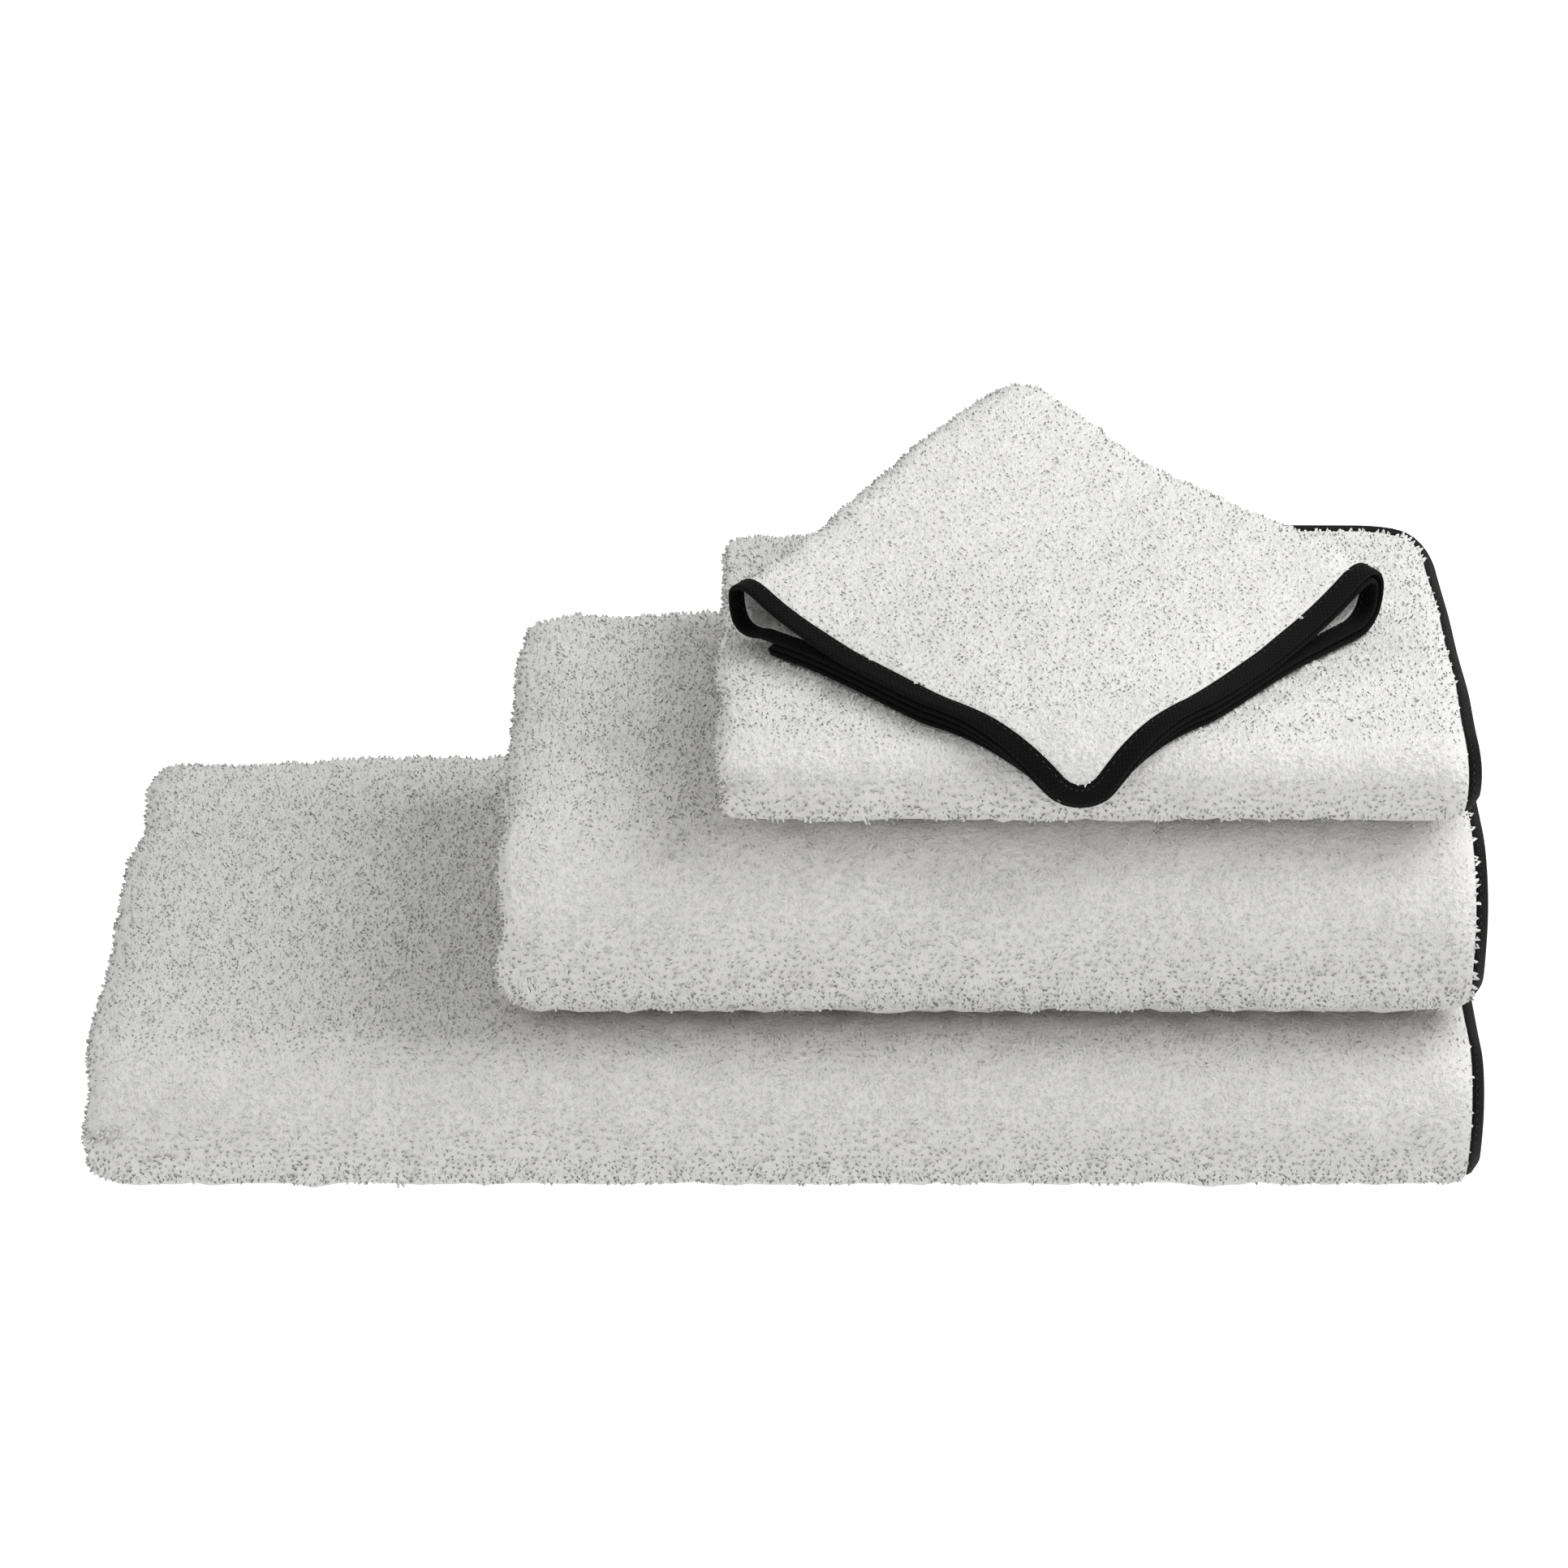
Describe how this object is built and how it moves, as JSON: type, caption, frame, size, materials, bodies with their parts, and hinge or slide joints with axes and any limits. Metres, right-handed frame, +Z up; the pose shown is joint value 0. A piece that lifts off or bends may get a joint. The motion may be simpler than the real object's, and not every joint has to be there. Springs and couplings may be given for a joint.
{
  "type": "bath towel set",
  "caption": "Stacked set of folded terry towels with bound edges: bath sheet, bath towel, hand towel and a wash cloth laid corner-on over the front.",
  "frame": {"origin": "on the surface the stack stands on, under the middle of its bounding box", "axes": "+X to the bound long edges, -Y to the folded noses (the front), +Z up through the stack"},
  "size_m": [0.4745, 0.2853, 0.2274],
  "materials": {
    "white_terry": "soft looped cotton pile",
    "black_binding": "plain-woven cotton bias tape, matte",
    "black_thread": "spun sewing thread"
  },
  "bodies": {
    "bath_sheet": {"bath_sheet_terry": "white_terry", "bath_sheet_binding": "black_binding", "bath_sheet_stitching": "black_thread"},
    "bath_towel": {"bath_towel_terry": "white_terry", "bath_towel_binding": "black_binding", "bath_towel_stitching": "black_thread"},
    "hand_towel": {"hand_towel_terry": "white_terry", "hand_towel_binding": "black_binding", "hand_towel_stitching": "black_thread"},
    "wash_cloth": {"wash_cloth_terry": "white_terry", "wash_cloth_binding": "black_binding", "wash_cloth_stitching": "black_thread"}
  },
  "joints": [
    {"name": "bath_towel_lift", "type": "slide", "parent": "bath_sheet", "child": "bath_towel", "axis": [0, 0, 1], "range_m": [0, 0.15]},
    {"name": "hand_towel_lift", "type": "slide", "parent": "bath_towel", "child": "hand_towel", "axis": [0, 0, 1], "range_m": [0, 0.15]},
    {"name": "wash_cloth_lift", "type": "slide", "parent": "hand_towel", "child": "wash_cloth", "axis": [0, 0, 1], "range_m": [0, 0.15]}
  ]
}
